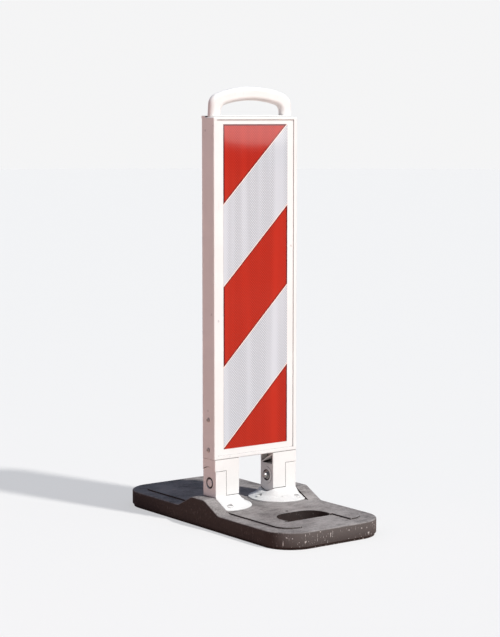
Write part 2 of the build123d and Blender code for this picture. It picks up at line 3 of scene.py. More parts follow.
import bpy
from bpy.props import FloatProperty, FloatVectorProperty, PointerProperty
from bpy.types import Operator, Panel, PropertyGroup
from mathutils import Euler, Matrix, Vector


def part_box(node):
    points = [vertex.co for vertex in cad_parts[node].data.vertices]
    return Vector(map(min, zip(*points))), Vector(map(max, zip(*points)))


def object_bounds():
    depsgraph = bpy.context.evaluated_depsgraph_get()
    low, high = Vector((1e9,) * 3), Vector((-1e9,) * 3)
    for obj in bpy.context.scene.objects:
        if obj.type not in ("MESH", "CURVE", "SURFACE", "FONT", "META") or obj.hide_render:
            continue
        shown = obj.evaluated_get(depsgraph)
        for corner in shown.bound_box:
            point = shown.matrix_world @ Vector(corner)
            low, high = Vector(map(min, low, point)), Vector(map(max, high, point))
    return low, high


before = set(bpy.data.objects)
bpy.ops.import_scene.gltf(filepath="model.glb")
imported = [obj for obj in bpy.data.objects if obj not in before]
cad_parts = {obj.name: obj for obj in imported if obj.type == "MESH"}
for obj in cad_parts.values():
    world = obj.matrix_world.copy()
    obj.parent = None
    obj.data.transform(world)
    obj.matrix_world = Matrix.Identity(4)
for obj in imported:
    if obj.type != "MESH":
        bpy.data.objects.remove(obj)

bl_info = {
    "name": "Folding vertical panel barricade",
    "version": (1, 0, 0),
    "blender": (4, 5, 0),
    "location": "View3D > Sidebar > Barricade",
    "description": "Finishes and detailed pieces of a folding traffic panel on a rubber base",
    "category": "Object",
}

CAD_LOW, CAD_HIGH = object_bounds()
BACKDROP = (0.91, 0.91, 0.915)
BLACK = (0.0, 0.0, 0.0)
SKY_AT_HORIZON = (0.17, 0.19, 0.23)
SKY_OVERHEAD = (0.21, 0.26, 0.36)

FLOAT, VECTOR = "NodeSocketFloat", "NodeSocketVector"
CELL_WARP = (0.004, 0.004, 0.004)  # metres by which noise bends the borders of cells


# ---------------------------------------------------------------- sizes and colours


class BarricadeFinish(PropertyGroup):
    """Colours and surface scales of the moulded parts and the film."""

    plastic_colour: FloatVectorProperty(
        name="Plastic", description="Colour of the white moulded parts",
        subtype="COLOR", size=3, min=0, max=1, default=(0.84, 0.84, 0.82),
    )
    # Grime also paints the shade in seams and inner angles of the white parts.
    grime_and_shade_colour: FloatVectorProperty(
        name="Grime", description="Colour of the road dirt on the white parts",
        subtype="COLOR", size=3, min=0, max=1, default=(0.13, 0.115, 0.11),
    )
    red_colour: FloatVectorProperty(
        name="Red film", description="Colour of the red stripes",
        subtype="COLOR", size=3, min=0, max=1, default=(0.515, 0.0238, 0.0096),
    )
    red_rim_colour: FloatVectorProperty(
        name="Red rim", description="Colour of the dark line around each red stripe",
        subtype="COLOR", size=3, min=0, max=1, default=(0.13, 0.008, 0.011),
    )
    white_colour: FloatVectorProperty(
        name="White film", description="Colour of the white stripes",
        subtype="COLOR", size=3, min=0, max=1, default=(0.655, 0.69, 0.735),
    )
    white_rim_colour: FloatVectorProperty(
        name="White rim", description="Colour of the pale line around each white stripe",
        subtype="COLOR", size=3, min=0, max=1, default=(0.92, 0.72, 0.64),
    )
    prism_pitch: FloatProperty(
        name="Prism pitch", description="Distance between the film's slanting cell lines",
        unit="LENGTH", default=0.0086, min=0.001, max=0.02,
    )
    stripe_repeat: FloatProperty(
        name="Stripe repeat", description="Height of one red and one white stripe together",
        unit="LENGTH", default=0.5, min=0.05, max=2,
    )
    white_stripe: FloatProperty(
        name="White stripe", description="Height of a white stripe along the film's side",
        unit="LENGTH", default=0.253, min=0.05, max=2,
    )


class BarricadeRubber(PropertyGroup):
    """Colours and surface scales of the base plate."""

    rubber_colour: FloatVectorProperty(
        name="Rubber", description="Colour of the recycled rubber where it is clean",
        subtype="COLOR", size=3, min=0, max=1, default=(0.017, 0.0095, 0.008),
    )
    dust_colour: FloatVectorProperty(
        name="Dust", description="Colour of the dust that has settled on the base",
        subtype="COLOR", size=3, min=0, max=1, default=(0.31, 0.29, 0.28),
    )
    # Scratches also paints the highlight along the plate's rubbed edges.
    scratch_and_highlight_colour: FloatVectorProperty(
        name="Scratches", description="Colour of the pale scratches and chips",
        subtype="COLOR", size=3, min=0, max=1, default=(0.78, 0.75, 0.72),
    )
    crumb_size: FloatProperty(
        name="Crumb size", description="Size of the rubber crumbs pressed into the plate",
        unit="LENGTH", default=0.003, min=0.0005, max=0.02,
    )


class BarricadeStage(PropertyGroup):
    """Camera and lights."""

    camera_azimuth: FloatProperty(
        name="Azimuth", description="Direction that the camera stands in, 0 being in front",
        subtype="ANGLE", default=math.radians(-36.61),
    )
    camera_tilt: FloatProperty(
        name="Tilt", description="How far the camera looks down",
        subtype="ANGLE", default=math.radians(6.27),
    )
    camera_distance: FloatProperty(
        name="Distance", description="Distance from the camera to the panel's axis",
        unit="LENGTH", default=5.651, min=1, max=50,
    )
    camera_height: FloatProperty(
        name="Height", description="Height of the camera above the ground",
        unit="LENGTH", default=1.255, min=0, max=10,
    )
    lens: FloatProperty(
        name="Lens", description="Focal length of the camera", unit="CAMERA", default=103.09,
    )
    key_azimuth: FloatProperty(
        name="Key azimuth", description="Direction that the key light comes from, 0 being in front",
        subtype="ANGLE", default=math.radians(17),
    )
    key_elevation: FloatProperty(
        name="Key elevation", description="Height of the key light above the horizon",
        subtype="ANGLE", default=math.radians(47),
    )
    key_strength: FloatProperty(
        name="Key strength", description="Strength of the key light", default=4.2, min=0,
    )
    floor_colour: FloatVectorProperty(
        name="Floor", description="Colour of the floor as the camera sees it",
        subtype="COLOR", size=3, min=0, max=1, default=(0.74, 0.735, 0.72),
    )
    shadow_softness: FloatProperty(
        name="Shadow softness",
        description="Share of the floor's brightness that shadows don't darken",
        subtype="FACTOR", default=0.55, min=0, max=1,
    )
    bounce_colour: FloatVectorProperty(
        name="Bounce", description="Colour of the light that the floor throws back on the object",
        subtype="COLOR", size=3, min=0, max=1, default=(0.52, 0.345, 0.285),
    )


# ---------------------------------------------------------------- node helpers


def connect(tree, value, socket):
    """Links a node's output to a socket, or sets the socket to a plain value."""
    if isinstance(value, bpy.types.NodeSocket):
        tree.links.new(value, socket)
    else:
        socket.default_value = value


def shade(colour, factor):
    """A colour made darker or lighter."""
    return tuple(channel * factor for channel in colour)


class Graph:
    """Short calls that add nodes to one tree and give back what they put out."""

    def __init__(self, tree):
        self.tree = tree

    def node(self, kind, **inputs):
        made = self.tree.nodes.new(kind)
        for name, value in inputs.items():
            connect(self.tree, value, made.inputs[name.replace("_", " ")])
        return made

    def operate(self, kind, operation, values):
        made = self.tree.nodes.new(kind)
        made.operation = operation
        for value, socket in zip(values, made.inputs):
            connect(self.tree, value, socket)
        return made

    def maths(self, operation, *values, clamp=False):
        made = self.operate("ShaderNodeMath", operation, values)
        made.use_clamp = clamp
        return made.outputs[0]

    def inverted(self, value):
        return self.maths("SUBTRACT", 1.0, value)

    def vector(self, operation, *values):
        made = self.operate("ShaderNodeVectorMath", operation, values)
        return made.outputs["Value" if operation == "DOT_PRODUCT" else "Vector"]

    def blend(self, factor, first, second):
        made = self.tree.nodes.new("ShaderNodeMix")
        made.data_type = "RGBA"
        connect(self.tree, factor, made.inputs[0])
        for colour, socket in ((first, made.inputs[6]), (second, made.inputs[7])):
            plain = not isinstance(colour, bpy.types.NodeSocket)
            connect(self.tree, (*colour[:3], 1) if plain else colour, socket)
        return made.outputs[2]

    def ramp(self, value, low, high):
        made = self.tree.nodes.new("ShaderNodeMapRange")
        made.interpolation_type = "SMOOTHSTEP"
        connect(self.tree, value, made.inputs["Value"])
        connect(self.tree, low, made.inputs["From Min"])
        connect(self.tree, high, made.inputs["From Max"])
        return made.outputs["Result"]


def new_group(name, inputs, outputs):
    """Empty shader node group with its sockets, its input and output nodes and its Graph."""
    group = bpy.data.node_groups.new(name, "ShaderNodeTree")
    for label, kind, default in inputs:
        socket = group.interface.new_socket(label, in_out="INPUT", socket_type=kind)
        if default is not None:
            socket.default_value = default
    for label, kind in outputs:
        group.interface.new_socket(label, in_out="OUTPUT", socket_type=kind)
    entry = group.nodes.new("NodeGroupInput")
    leave = group.nodes.new("NodeGroupOutput")
    return group, entry, leave, Graph(group)


def place(tree, group, **inputs):
    """One use of a node group in a material, with its own values."""
    made = tree.nodes.new("ShaderNodeGroup")
    made.node_tree = group
    for name, value in inputs.items():
        connect(tree, value, made.inputs[name.replace("_", " ")])
    return made


def mould_skin_group():
    """Shallow waviness and fine grain of a plastic moulding."""
    tone_range = (0.35, 0.65)
    group, entry, leave, g = new_group(
        "Mould skin",
        [("Vector", VECTOR, None), ("Grain Scale", FLOAT, 900.0), ("Grain Depth", FLOAT, 0.25)],
        [("Height", FLOAT), ("Tone", FLOAT)],
    )
    waves = g.node("ShaderNodeTexNoise", Vector=entry.outputs["Vector"], Scale=9.0, Detail=2.0)
    grain = g.node(
        "ShaderNodeTexNoise", Vector=entry.outputs["Vector"],
        Scale=entry.outputs["Grain Scale"], Detail=3.0, Roughness=0.6,
    )
    fine = g.maths("MULTIPLY", grain.outputs["Fac"], entry.outputs["Grain Depth"])
    group.links.new(g.maths("ADD", waves.outputs["Fac"], fine), leave.inputs["Height"])
    group.links.new(g.ramp(waves.outputs["Fac"], *tone_range), leave.inputs["Tone"])
    return group


def streak_group():
    """Sparse fine lines along one direction, gathered in patches, such as scratches."""
    line_softness, patch_softness = 0.07, 0.06
    group, entry, leave, g = new_group(
        "Streaks",
        [
            ("Vector", VECTOR, None), ("Stretch", VECTOR, (300.0, 300.0, 25.0)),
            ("Threshold", FLOAT, 0.68), ("Patch Scale", FLOAT, 8.0), ("Patch Cover", FLOAT, 0.5),
        ],
        [("Mask", FLOAT)],
    )
    drawn = g.vector("MULTIPLY", entry.outputs["Vector"], entry.outputs["Stretch"])
    line = g.node("ShaderNodeTexNoise", Vector=drawn, Scale=1.0, Detail=3.0, Roughness=0.55)
    full = g.maths("ADD", entry.outputs["Threshold"], line_softness)
    mark = g.ramp(line.outputs["Fac"], entry.outputs["Threshold"], full)
    patch = g.node(
        "ShaderNodeTexNoise", Vector=entry.outputs["Vector"],
        Scale=entry.outputs["Patch Scale"], Detail=3.0,
    )
    border = g.inverted(entry.outputs["Patch Cover"])
    outside = g.maths("SUBTRACT", border, patch_softness)
    inside = g.maths("ADD", border, patch_softness)
    cover = g.ramp(patch.outputs["Fac"], outside, inside)
    group.links.new(g.maths("MULTIPLY", mark, cover), leave.inputs["Mask"])
    return group


def chip_group():
    """Small scattered spots of uneven size, such as chips and paint specks."""
    smallest, size_range, solid_share = 0.06, 0.2, 0.6
    group, entry, leave, g = new_group(
        "Chips",
        [("Vector", VECTOR, None), ("Spacing", FLOAT, 0.012), ("Share", FLOAT, 0.2)],
        [("Mask", FLOAT)],
    )
    warp = g.node("ShaderNodeTexNoise", Vector=entry.outputs["Vector"], Scale=260.0, Detail=2.0)
    bent = g.vector("MULTIPLY_ADD", warp.outputs["Color"], CELL_WARP, entry.outputs["Vector"])
    density = g.maths("DIVIDE", 1.0, entry.outputs["Spacing"])
    cells = g.node("ShaderNodeTexVoronoi", Vector=bent, Scale=density)
    pick = g.node("ShaderNodeSeparateColor", Color=cells.outputs["Color"])
    chosen = g.maths("LESS_THAN", pick.outputs["Red"], entry.outputs["Share"])
    size = g.maths("MULTIPLY_ADD", pick.outputs["Blue"], size_range, smallest)
    solid = g.maths("MULTIPLY", size, solid_share)
    spot = g.inverted(g.ramp(cells.outputs["Distance"], solid, size))
    group.links.new(g.maths("MULTIPLY", chosen, spot), leave.inputs["Mask"])
    return group


def dust_group():
    """Dust that settles on what faces up, broken up by noise."""
    wall, ledge = 0.15, 0.9  # how far up a face looks: none settles, all settles
    cloud_share, speck_share = 0.7, 0.45
    bare, covered = 0.28, 0.72
    group, entry, leave, g = new_group(
        "Settled dust",
        [
            ("Vector", VECTOR, None), ("Normal", VECTOR, None),
            ("Upward", FLOAT, 0.8), ("Everywhere", FLOAT, 0.1),
        ],
        [("Mask", FLOAT)],
    )
    up = g.vector("DOT_PRODUCT", entry.outputs["Normal"], (0, 0, 1))
    facing = g.maths("MULTIPLY", g.ramp(up, wall, ledge), entry.outputs["Upward"])
    cloud = g.node(
        "ShaderNodeTexNoise", Vector=entry.outputs["Vector"], Scale=9.0, Detail=8.0, Roughness=0.7
    )
    speck = g.node(
        "ShaderNodeTexNoise", Vector=entry.outputs["Vector"], Scale=220.0, Detail=4.0, Roughness=0.7
    )
    clouds = g.maths("MULTIPLY", cloud.outputs["Fac"], cloud_share)
    broken = g.maths("ADD", clouds, g.maths("MULTIPLY", speck.outputs["Fac"], speck_share))
    level = g.maths("ADD", facing, entry.outputs["Everywhere"])
    mask = g.maths("MULTIPLY", level, g.ramp(broken, bare, covered), clamp=True)
    group.links.new(mask, leave.inputs["Mask"])
    return group


def prism_group():
    """Lozenge cells of retroreflective film between slanting lines, and soft upright bands."""
    line_core, line_edge = 0.12, 0.3  # shares of the pitch
    band_stretch = (22.0, 0.0, 0.6)
    group, entry, leave, g = new_group(
        "Prism cells",
        [("Vector", VECTOR, None), ("Pitch", FLOAT, 0.004)],
        [("Lines", FLOAT), ("Bands", FLOAT)],
    )
    split = g.node("ShaderNodeSeparateXYZ", Vector=entry.outputs["Vector"])
    sets = []
    for sign in (-1.0, 1.0):
        across = g.maths("MULTIPLY_ADD", split.outputs["X"], sign, split.outputs["Z"])
        phase = g.maths("DIVIDE", across, entry.outputs["Pitch"])
        sets.append(g.inverted(g.ramp(g.maths("PINGPONG", phase, 0.5), line_core, line_edge)))
    group.links.new(g.maths("MAXIMUM", *sets), leave.inputs["Lines"])
    upright = g.vector("MULTIPLY", entry.outputs["Vector"], band_stretch)
    bands = g.node("ShaderNodeTexNoise", Vector=upright, Scale=1.0, Detail=1.0)
    group.links.new(bands.outputs["Fac"], leave.inputs["Bands"])
    return group


def stripe_edge_group():
    """Narrow lines along the slanting edges between the stripes and along the film's own border."""
    solid_share = 0.7
    group, entry, leave, g = new_group(
        "Stripe edge",
        [
            ("Vector", VECTOR, None), ("Start", FLOAT, 0.36), ("Repeat", FLOAT, 0.5),
            ("White", FLOAT, 0.25), ("Width", FLOAT, 0.003), ("Half Width", FLOAT, 0.123),
            ("Top", FLOAT, 1.2),
        ],
        [("Stripes", FLOAT), ("Border", FLOAT)],
    )
    split = g.node("ShaderNodeSeparateXYZ", Vector=entry.outputs["Vector"])
    face = g.maths("SIGN", split.outputs["Y"])
    slant = g.maths("MULTIPLY_ADD", split.outputs["X"], face, split.outputs["Z"])
    half_white = g.maths("MULTIPLY", entry.outputs["White"], 0.5)
    centre = g.maths("ADD", entry.outputs["Start"], half_white)
    from_centre = g.maths(
        "PINGPONG", g.maths("SUBTRACT", slant, centre),
        g.maths("MULTIPLY", entry.outputs["Repeat"], 0.5),
    )
    from_side = g.maths(
        "SUBTRACT", entry.outputs["Half Width"], g.maths("ABSOLUTE", split.outputs["X"])
    )
    from_top = g.maths("SUBTRACT", entry.outputs["Top"], split.outputs["Z"])
    distances = {
        "Stripes": g.maths("ABSOLUTE", g.maths("SUBTRACT", from_centre, half_white)),
        "Border": g.maths("MINIMUM", from_side, from_top),
    }
    solid = g.maths("MULTIPLY", entry.outputs["Width"], solid_share)
    for name, away in distances.items():
        line = g.inverted(g.ramp(away, solid, entry.outputs["Width"]))
        group.links.new(line, leave.inputs[name])
    return group


def bow_group():
    """Height of a slight bulge at the film's upper end, which bends what it mirrors."""
    group, entry, leave, g = new_group(
        "Film bow",
        [
            ("Vector", VECTOR, None), ("Half Width", FLOAT, 0.123), ("Top", FLOAT, 1.2),
            ("Reach", FLOAT, 0.3), ("Tilt", FLOAT, 0.004),
        ],
        [("Height", FLOAT)],
    )
    split = g.node("ShaderNodeSeparateXYZ", Vector=entry.outputs["Vector"])
    sideways = g.maths("DIVIDE", split.outputs["X"], entry.outputs["Half Width"])
    middle = g.inverted(g.maths("MULTIPLY", sideways, sideways))
    drop = g.maths("SUBTRACT", entry.outputs["Top"], split.outputs["Z"])
    near_top = g.inverted(g.ramp(drop, 0.0, entry.outputs["Reach"]))
    bulge = g.maths("MULTIPLY", g.maths("MULTIPLY", middle, drop), near_top)
    group.links.new(g.maths("MULTIPLY", bulge, entry.outputs["Tilt"]), leave.inputs["Height"])
    return group


def crevice_shade_group():
    """Mask of painted shade in seams and inner angles, from how closed in the surface is."""
    closed_in, open_face = 0.25, 0.85
    group, entry, leave, g = new_group(
        "Crevice shade", [("Distance", FLOAT, 0.008)], [("Mask", FLOAT)],
    )
    around = g.node("ShaderNodeAmbientOcclusion", Distance=entry.outputs["Distance"])
    around.samples = 8
    mask = g.inverted(g.ramp(around.outputs["AO"], closed_in, open_face))
    group.links.new(mask, leave.inputs["Mask"])
    return group


def crumb_group():
    """Rubber crumbs bonded together: each has its own tone, with pits between them."""
    pit_depth = 0.35
    group, entry, leave, g = new_group(
        "Rubber crumb",
        [("Vector", VECTOR, None), ("Size", FLOAT, 0.003)],
        [("Tone", FLOAT), ("Height", FLOAT)],
    )
    density = g.maths("DIVIDE", 1.0, entry.outputs["Size"])
    warp = g.node("ShaderNodeTexNoise", Vector=entry.outputs["Vector"], Scale=120.0, Detail=2.0)
    bent = g.vector("MULTIPLY_ADD", warp.outputs["Color"], CELL_WARP, entry.outputs["Vector"])
    cells = g.node("ShaderNodeTexVoronoi", Vector=bent, Scale=density)
    tone = g.node("ShaderNodeSeparateColor", Color=cells.outputs["Color"])
    group.links.new(tone.outputs["Red"], leave.inputs["Tone"])
    coarse = g.node(
        "ShaderNodeTexNoise", Vector=entry.outputs["Vector"], Scale=60.0, Detail=5.0, Roughness=0.65
    )
    pits = g.maths("MULTIPLY", cells.outputs["Distance"], pit_depth)
    rise = g.maths("SUBTRACT", coarse.outputs["Fac"], pits)
    group.links.new(rise, leave.inputs["Height"])
    return group


def edge_group():
    """Outer edges, from the angle between the real and a rounded normal: a mask, which the rubber
    paints paler partly as rubbed wear and partly as painted highlight, and the rounded normal.
    """
    group, entry, leave, g = new_group(
        "Rubbed and highlit edges", [("Radius", FLOAT, 0.003), ("Gain", FLOAT, 4.0)],
        [("Mask", FLOAT), ("Normal", VECTOR)],
    )
    rounded = g.node("ShaderNodeBevel", Radius=entry.outputs["Radius"])
    rounded.samples = 6
    geometry = g.node("ShaderNodeNewGeometry")
    same = g.vector("DOT_PRODUCT", rounded.outputs["Normal"], geometry.outputs["Normal"])
    turned = g.maths("MULTIPLY", g.inverted(same), entry.outputs["Gain"])
    group.links.new(g.maths("MINIMUM", turned, 1.0), leave.inputs["Mask"])
    group.links.new(rounded.outputs["Normal"], leave.inputs["Normal"])
    return group


GROUP_MAKERS = {
    "skin": mould_skin_group,
    "streaks": streak_group,
    "chips": chip_group,
    "dust": dust_group,
    "prism": prism_group,
    "stripe edge": stripe_edge_group,
    "bow": bow_group,
    "crevice shade": crevice_shade_group,
    "crumb": crumb_group,
    "edges": edge_group,
}
groups = {}


def shared(name):
    """A shared node group, built the first time it is asked for."""
    if name not in groups:
        groups[name] = GROUP_MAKERS[name]()
    return groups[name]


def new_material(name):
    """Material with one Principled shader, and the object's own coordinates and normal."""
    material = bpy.data.materials.new(name)
    material.use_nodes = True
    tree = material.node_tree
    tree.nodes.clear()
    shader = tree.nodes.new("ShaderNodeBsdfPrincipled")
    output = tree.nodes.new("ShaderNodeOutputMaterial")
    tree.links.new(shader.outputs["BSDF"], output.inputs["Surface"])
    own = tree.nodes.new("ShaderNodeTexCoord")
    return material, tree, shader, own.outputs["Object"], own.outputs["Normal"]


def bump(tree, shader, height, strength, distance, normal=None):
    """Bump on the shader's normal; the height times the distance is in metres."""
    made = tree.nodes.new("ShaderNodeBump")
    made.inputs["Strength"].default_value = strength
    made.inputs["Distance"].default_value = distance
    tree.links.new(height, made.inputs["Height"])
    if normal is not None:
        tree.links.new(normal, made.inputs["Normal"])
    tree.links.new(made.outputs["Normal"], shader.inputs["Normal"])


# ---------------------------------------------------------------- finishes


def white_plastic():
    """Satin white moulding with a little road grime, fine scratches, softened edges and painted
    shade in its seams and inner angles.
    """
    splash_full, splash_end = 0.06, 0.26  # heights above the ground
    splash_gain, plain_dirt = 1.4, 0.6
    mark_strength, joint_shade_strength = 0.22, 0.9
    smoothest, dirt_roughness = 0.38, 0.4
    finish = bpy.context.scene.barricade_finish
    material, tree, shader, where, normal = new_material("White moulded plastic")
    g = Graph(tree)
    skin = place(tree, shared("skin"), Vector=where)
    upright = place(tree, shared("streaks"), Vector=where, Stretch=(260.0, 260.0, 18.0),
                    Threshold=0.66, Patch_Scale=6.0, Patch_Cover=0.42)
    level = place(tree, shared("streaks"), Vector=where, Stretch=(22.0, 22.0, 300.0),
                  Threshold=0.68, Patch_Scale=7.0, Patch_Cover=0.4)
    chips = place(tree, shared("chips"), Vector=where, Spacing=0.02, Share=0.04)
    dust = place(tree, shared("dust"), Vector=where, Normal=normal, Upward=0.12, Everywhere=0.04)
    edges = place(tree, shared("edges"), Radius=0.0012)
    # Painted shade: darker where the surface is closed in, at seams and inner angles.
    joint_shade = place(tree, shared("crevice shade"), Distance=0.01)

    clean = g.blend(skin.outputs["Tone"], finish.plastic_colour, shade(finish.plastic_colour, 0.97))
    spot = g.node("ShaderNodeSeparateXYZ", Vector=where)
    splash = g.inverted(g.ramp(spot.outputs["Z"], splash_full, splash_end))
    splashed = g.maths("MULTIPLY_ADD", splash, splash_gain, plain_dirt)
    film_of_dirt = g.maths("MULTIPLY", dust.outputs["Mask"], splashed)
    streaks = g.maths("MAXIMUM", upright.outputs["Mask"], level.outputs["Mask"])
    marks = g.maths("MAXIMUM", streaks, chips.outputs["Mask"])
    loose = g.maths("MULTIPLY_ADD", marks, mark_strength, film_of_dirt)
    # The grime colour stands for road grime and marks, and also for the painted shade in seams.
    dirt_and_shade = g.maths("MULTIPLY_ADD", joint_shade.outputs["Mask"], joint_shade_strength, loose, clamp=True)
    tree.links.new(g.blend(dirt_and_shade, clean, finish.grime_and_shade_colour), shader.inputs["Base Color"])
    roughness = g.maths("MULTIPLY_ADD", dirt_and_shade, dirt_roughness, smoothest)
    tree.links.new(roughness, shader.inputs["Roughness"])
    bump(tree, shader, skin.outputs["Height"], strength=0.3, distance=0.0006,
         normal=edges.outputs["Normal"])
    return material


def film(name, colour, rim_colour, rim_width, border):
    """Glossy retroreflective film: a cell lattice, with lines along its stripes and border."""
    lattice_from, lattice_full, lattice_tone = 0.14, 0.5, 0.63
    band_from, band_full, band_tone = 0.38, 0.8, 0.93
    scuff_colour, scuff_strength = (0.6, 0.55, 0.53), 0.15
    gloss_roughness, scuff_roughness = 0.055, 0.2
    cell_depth = 0.0000004
    finish = bpy.context.scene.barricade_finish
    material, tree, shader, where, _ = new_material(name)
    g = Graph(tree)
    low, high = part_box("front_white_film")
    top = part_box("front_red_film")[1][2]
    cells = place(tree, shared("prism"), Vector=where, Pitch=finish.prism_pitch)
    # The lowest white stripe starts in the film's lower left corner.
    edge = place(tree, shared("stripe edge"), Vector=where, Start=low[2] - low[0],
                 Repeat=finish.stripe_repeat, White=finish.white_stripe, Width=rim_width,
                 Half_Width=high[0], Top=top)
    bow = place(tree, shared("bow"), Vector=where, Half_Width=high[0], Top=top)
    scuffs = place(tree, shared("streaks"), Vector=where, Stretch=(90.0, 90.0, 12.0),
                   Threshold=0.7, Patch_Scale=5.0, Patch_Cover=0.38)

    shown = g.ramp(cells.outputs["Bands"], lattice_from, lattice_full)
    lattice = g.maths("MULTIPLY", cells.outputs["Lines"], shown)
    latticed = g.blend(lattice, colour, shade(colour, lattice_tone))
    bands = g.ramp(cells.outputs["Bands"], band_from, band_full)
    banded = g.blend(bands, latticed, shade(colour, band_tone))
    stripe_lines, border_line = edge.outputs["Stripes"], edge.outputs["Border"]
    line = g.maths("MULTIPLY_ADD", border_line, border, stripe_lines, clamp=True)
    rimmed = g.blend(line, banded, rim_colour)
    scuffed = g.maths("MULTIPLY", scuffs.outputs["Mask"], scuff_strength)
    tree.links.new(g.blend(scuffed, rimmed, scuff_colour), shader.inputs["Base Color"])
    roughness = g.maths("MULTIPLY_ADD", scuffs.outputs["Mask"], scuff_roughness, gloss_roughness)
    tree.links.new(roughness, shader.inputs["Roughness"])
    shader.inputs["Specular IOR Level"].default_value = 0.36
    lens = g.maths("MULTIPLY_ADD", cells.outputs["Lines"], -cell_depth, bow.outputs["Height"])
    bump(tree, shader, lens, strength=1.0, distance=1.0)
    return material


def recycled_rubber():
    """Dark pressed rubber crumb with dust on top, scuffed and chipped on its walls; its edges are
    painted paler, partly as rubbed wear and partly as painted highlight, and its closed-in places
    are left dark as painted shade.
    """
    dark_crumb, pale_crumb = 0.8, 1.35
    upright, sloping = 0.2, 0.7  # sizes of the normal's Z
    side_facing, end_facing = 0.25, 0.8  # sizes of the normal's Y
    end_wall_from, end_wall_full = 0.13, 0.09  # distances in from the plate's ends
    side_share, end_share = 0.1, 0.9
    dust_low, dust_high = -0.02, 0.05  # heights over which dust on a wall thickens
    wall_dust, stroke_depth = 0.27, 0.2
    mark_strength, edge_wear_and_highlight_strength = 0.62, 0.18
    clean_roughness, dust_roughness = 0.55, 0.35
    rubber = bpy.context.scene.barricade_rubber
    material, tree, shader, where, normal = new_material("Recycled rubber")
    g = Graph(tree)
    crumb = place(tree, shared("crumb"), Vector=where, Size=rubber.crumb_size)
    dust = place(tree, shared("dust"), Vector=where, Normal=normal, Upward=0.98, Everywhere=0.012)
    brushed = place(tree, shared("streaks"), Vector=where, Stretch=(18.0, 140.0, 140.0),
                    Threshold=0.5, Patch_Scale=5.0, Patch_Cover=0.62)
    scratches = place(tree, shared("streaks"), Vector=where, Stretch=(260.0, 260.0, 70.0),
                      Threshold=0.61, Patch_Scale=11.0, Patch_Cover=0.52)
    chips = place(tree, shared("chips"), Vector=where, Spacing=0.01, Share=0.4)
    edges = place(tree, shared("edges"), Radius=0.003, Gain=3.0)
    corner_shade = place(tree, shared("crevice shade"), Distance=0.012)

    facing = g.node("ShaderNodeSeparateXYZ", Vector=normal)
    spot = g.node("ShaderNodeSeparateXYZ", Vector=where)
    wall = g.inverted(g.ramp(g.maths("ABSOLUTE", facing.outputs["Z"]), upright, sloping))
    end_on = g.ramp(g.maths("ABSOLUTE", facing.outputs["Y"]), side_facing, end_facing)
    half_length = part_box("base_plate")[1][1]
    outer = g.ramp(g.maths("ABSOLUTE", spot.outputs["Y"]),
                   half_length - end_wall_from, half_length - end_wall_full)
    ends = g.maths("MULTIPLY", end_on, outer)
    scuffed = g.maths("MULTIPLY", wall, g.maths("MULTIPLY_ADD", ends, end_share, side_share))
    thickening = g.ramp(spot.outputs["Z"], dust_low, dust_high)
    dusty_wall = g.maths("MULTIPLY", scuffed, thickening)

    clean = g.blend(crumb.outputs["Tone"], shade(rubber.rubber_colour, dark_crumb),
                    shade(rubber.rubber_colour, pale_crumb))
    film_of_dust = g.maths("MULTIPLY_ADD", dusty_wall, wall_dust, dust.outputs["Mask"])
    strokes = g.maths("MULTIPLY", brushed.outputs["Mask"], g.inverted(wall))
    swept = g.maths("MULTIPLY_ADD", strokes, -stroke_depth, film_of_dust, clamp=True)
    # Closed-in places get no dust and stay dark: painted shade.
    dust_with_corner_shade = g.maths("MULTIPLY", swept, g.inverted(corner_shade.outputs["Mask"]))
    dusted_and_shaded = g.blend(dust_with_corner_shade, clean, rubber.dust_colour)
    marks = g.maths("MAXIMUM", scratches.outputs["Mask"], chips.outputs["Mask"])
    wall_marks = g.maths("MULTIPLY", marks, scuffed)
    # Paler edges: partly rubbed wear, partly painted highlight.
    edge_wear_and_highlight = g.maths("MULTIPLY", edges.outputs["Mask"], edge_wear_and_highlight_strength)
    worn_and_highlit = g.maths("MULTIPLY", g.maths("MAXIMUM", wall_marks, edge_wear_and_highlight), mark_strength)
    tree.links.new(g.blend(worn_and_highlit, dusted_and_shaded, rubber.scratch_and_highlight_colour), shader.inputs["Base Color"])
    roughness = g.maths("MULTIPLY_ADD", swept, dust_roughness, clean_roughness)
    tree.links.new(roughness, shader.inputs["Roughness"])
    shader.inputs["Specular IOR Level"].default_value = 0.3
    bump(tree, shader, crumb.outputs["Height"], strength=0.6, distance=0.0012)
    return material


def zinc_steel():
    """Bright zinc plating with faint cloudy passivation, and painted shade where it is closed in,
    as beside washers.
    """
    dull_zinc, bright_zinc = (0.5, 0.49, 0.48), (0.85, 0.84, 0.81)
    corner_shade_colour = (0.05, 0.042, 0.036)
    smoothest, cloud_roughness = 0.22, 0.25
    material, tree, shader, where, _ = new_material("Zinc plated steel")
    g = Graph(tree)
    cloud = g.node("ShaderNodeTexNoise", Vector=where, Scale=140.0, Detail=4.0)
    corner_shade = place(tree, shared("crevice shade"), Distance=0.004)
    plated = g.blend(cloud.outputs["Fac"], dull_zinc, bright_zinc)
    # Painted shade: darker where the surface is closed in, as beside washers and heads.
    plated_and_shaded = g.blend(corner_shade.outputs["Mask"], plated, corner_shade_colour)
    tree.links.new(plated_and_shaded, shader.inputs["Base Color"])
    roughness = g.maths("MULTIPLY_ADD", cloud.outputs["Fac"], cloud_roughness, smoothest)
    tree.links.new(roughness, shader.inputs["Roughness"])
    shader.inputs["Metallic"].default_value = 1.0
    bump(tree, shader, cloud.outputs["Fac"], strength=0.15, distance=0.0002)
    return material


